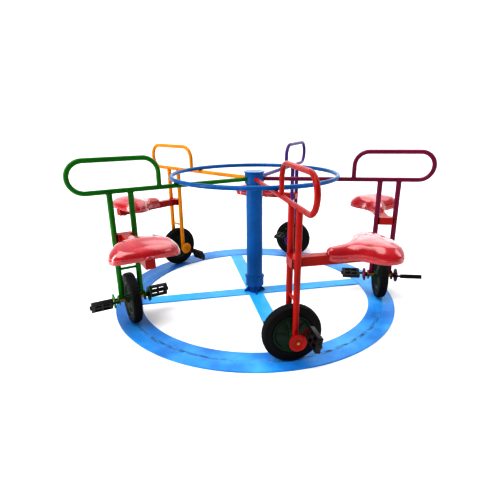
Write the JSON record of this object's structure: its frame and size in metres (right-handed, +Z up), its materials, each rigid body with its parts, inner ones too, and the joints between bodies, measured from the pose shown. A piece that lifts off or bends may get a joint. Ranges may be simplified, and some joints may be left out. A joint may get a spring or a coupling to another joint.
{
  "type": "pedal merry go round",
  "caption": "Pedal-driven playground merry-go-round: saddled wheel units on arms with hand loops, turning about a central column over a flat track ring.",
  "frame": {"origin": "centre of the cross bars' underside, on the ground below the column", "axes": "+Z up along the column; +X outward along the magenta unit's arm"},
  "size_m": [1.8072, 1.7773, 0.8044],
  "materials": {
    "track_paint": "satin enamel, worn",
    "blue_paint": "gloss enamel",
    "magenta_paint": "gloss enamel",
    "violet_paint": "gloss enamel",
    "yellow_paint": "gloss enamel",
    "green_paint": "gloss enamel",
    "red_paint": "gloss enamel",
    "saddle_plastic": "glossy moulded plastic",
    "tyre_rubber": "moulded rubber with tread",
    "wheel_green": "satin moulded plastic",
    "pedal_plastic": "matt moulded plastic",
    "brass": "turned brass",
    "bright_steel": "machined steel"
  },
  "bodies": {
    "base": {"track_ring": "track_paint", "cross_bar_long": "track_paint", "cross_bars_short": "track_paint", "base_stub": "blue_paint", "base_gussets": "blue_paint", "spindle": "bright_steel", "bearing_inner_race": "bright_steel", "bearing_balls": "bright_steel", "spindle_nut": "bright_steel"},
    "rotor": {"column": "blue_paint", "column_bush": "brass", "bearing_outer_race": "bright_steel", "bearing_stop_ring": "bright_steel", "column_shoe": "blue_paint", "hub_sleeve": "blue_paint", "hub_cap": "blue_paint", "top_ring": "blue_paint", "seat_bars": "red_paint", "saddle_bolts": "bright_steel", "axle_bushes": "brass", "magenta_arm": "magenta_paint", "magenta_fork": "magenta_paint", "magenta_saddle": "saddle_plastic", "violet_arm": "violet_paint", "violet_fork": "violet_paint", "violet_saddle": "saddle_plastic", "yellow_arm": "yellow_paint", "yellow_fork": "yellow_paint", "yellow_saddle": "saddle_plastic", "green_arm": "green_paint", "green_fork": "green_paint", "green_saddle": "saddle_plastic", "red_arm": "red_paint", "red_fork": "red_paint", "red_saddle": "saddle_plastic"},
    "wheel_magenta": {"magenta_tyre": "tyre_rubber", "magenta_wheel_disc": "wheel_green", "magenta_crank": "magenta_paint"},
    "pedal_magenta_outer": {"magenta_pedal_outer": "pedal_plastic"},
    "pedal_magenta_inner": {"magenta_pedal_inner": "pedal_plastic"},
    "wheel_violet": {"violet_tyre": "tyre_rubber", "violet_wheel_disc": "wheel_green", "violet_crank": "violet_paint"},
    "pedal_violet_outer": {"violet_pedal_outer": "pedal_plastic"},
    "pedal_violet_inner": {"violet_pedal_inner": "pedal_plastic"},
    "wheel_yellow": {"yellow_tyre": "tyre_rubber", "yellow_wheel_disc": "wheel_green", "yellow_crank": "yellow_paint"},
    "pedal_yellow_outer": {"yellow_pedal_outer": "pedal_plastic"},
    "pedal_yellow_inner": {"yellow_pedal_inner": "pedal_plastic"},
    "wheel_green": {"green_tyre": "tyre_rubber", "green_wheel_disc": "wheel_green", "green_crank": "green_paint"},
    "pedal_green_outer": {"green_pedal_outer": "pedal_plastic"},
    "pedal_green_inner": {"green_pedal_inner": "pedal_plastic"},
    "wheel_red": {"red_tyre": "tyre_rubber", "red_wheel_disc": "wheel_green", "red_crank": "red_paint"},
    "pedal_red_outer": {"red_pedal_outer": "pedal_plastic"},
    "pedal_red_inner": {"red_pedal_inner": "pedal_plastic"}
  },
  "joints": [
    {"name": "rotor_spin", "type": "hinge", "parent": "base", "child": "rotor", "pos_m": [0, 0, 0.3], "axis": [0, 0, 1], "continuous": true},
    {"name": "wheel_magenta_spin", "type": "hinge", "parent": "rotor", "child": "wheel_magenta", "pos_m": [0.6962, 0, 0.1313], "axis": [1, 0, 0], "continuous": true},
    {"name": "pedal_magenta_outer_spin", "type": "hinge", "parent": "wheel_magenta", "child": "pedal_magenta_outer", "pos_m": [0.8432, -0.0612, 0.15001], "axis": [1, 0, 0], "continuous": true},
    {"name": "pedal_magenta_inner_spin", "type": "hinge", "parent": "wheel_magenta", "child": "pedal_magenta_inner", "pos_m": [0.5492, 0.0612, 0.11259], "axis": [1, 0, 0], "continuous": true},
    {"name": "wheel_violet_spin", "type": "hinge", "parent": "rotor", "child": "wheel_violet", "pos_m": [0.21514, 0.66213, 0.1313], "axis": [0.309, 0.9511, 0], "continuous": true},
    {"name": "pedal_violet_outer_spin", "type": "hinge", "parent": "wheel_violet", "child": "pedal_violet_outer", "pos_m": [0.29969, 0.78922, 0.08227], "axis": [0.309, 0.9511, 0], "continuous": true},
    {"name": "pedal_violet_inner_spin", "type": "hinge", "parent": "wheel_violet", "child": "pedal_violet_inner", "pos_m": [0.13059, 0.53503, 0.18033], "axis": [0.309, 0.9511, 0], "continuous": true},
    {"name": "wheel_yellow_spin", "type": "hinge", "parent": "rotor", "child": "wheel_yellow", "pos_m": [-0.56324, 0.40922, 0.1313], "axis": [-0.809, 0.5878, 0], "continuous": true},
    {"name": "pedal_yellow_outer_spin", "type": "hinge", "parent": "wheel_yellow", "child": "pedal_yellow_outer", "pos_m": [-0.71098, 0.45596, 0.17244], "axis": [-0.809, 0.5878, 0], "continuous": true},
    {"name": "pedal_yellow_inner_spin", "type": "hinge", "parent": "wheel_yellow", "child": "pedal_yellow_inner", "pos_m": [-0.41549, 0.36248, 0.09016], "axis": [-0.809, 0.5878, 0], "continuous": true},
    {"name": "wheel_green_spin", "type": "hinge", "parent": "rotor", "child": "wheel_green", "pos_m": [-0.56324, -0.40922, 0.1313], "axis": [-0.809, -0.5878, 0], "continuous": true},
    {"name": "pedal_green_outer_spin", "type": "hinge", "parent": "wheel_green", "child": "pedal_green_outer", "pos_m": [-0.64619, -0.54514, 0.15001], "axis": [-0.809, -0.5878, 0], "continuous": true},
    {"name": "pedal_green_inner_spin", "type": "hinge", "parent": "wheel_green", "child": "pedal_green_inner", "pos_m": [-0.48029, -0.2733, 0.11259], "axis": [-0.809, -0.5878, 0], "continuous": true},
    {"name": "wheel_red_spin", "type": "hinge", "parent": "rotor", "child": "wheel_red", "pos_m": [0.21514, -0.66213, 0.1313], "axis": [0.309, -0.9511, 0], "continuous": true},
    {"name": "pedal_red_outer_spin", "type": "hinge", "parent": "wheel_red", "child": "pedal_red_outer", "pos_m": [0.29969, -0.78922, 0.18033], "axis": [0.309, -0.9511, 0], "continuous": true},
    {"name": "pedal_red_inner_spin", "type": "hinge", "parent": "wheel_red", "child": "pedal_red_inner", "pos_m": [0.13059, -0.53503, 0.08227], "axis": [0.309, -0.9511, 0], "continuous": true}
  ],
  "couplings": [
    {"joint": "wheel_magenta_spin", "follows": "rotor_spin", "ratio": -5.5696},
    {"joint": "wheel_violet_spin", "follows": "rotor_spin", "ratio": -5.5696},
    {"joint": "wheel_yellow_spin", "follows": "rotor_spin", "ratio": -5.5696},
    {"joint": "wheel_green_spin", "follows": "rotor_spin", "ratio": -5.5696},
    {"joint": "wheel_red_spin", "follows": "rotor_spin", "ratio": -5.5696}
  ]
}
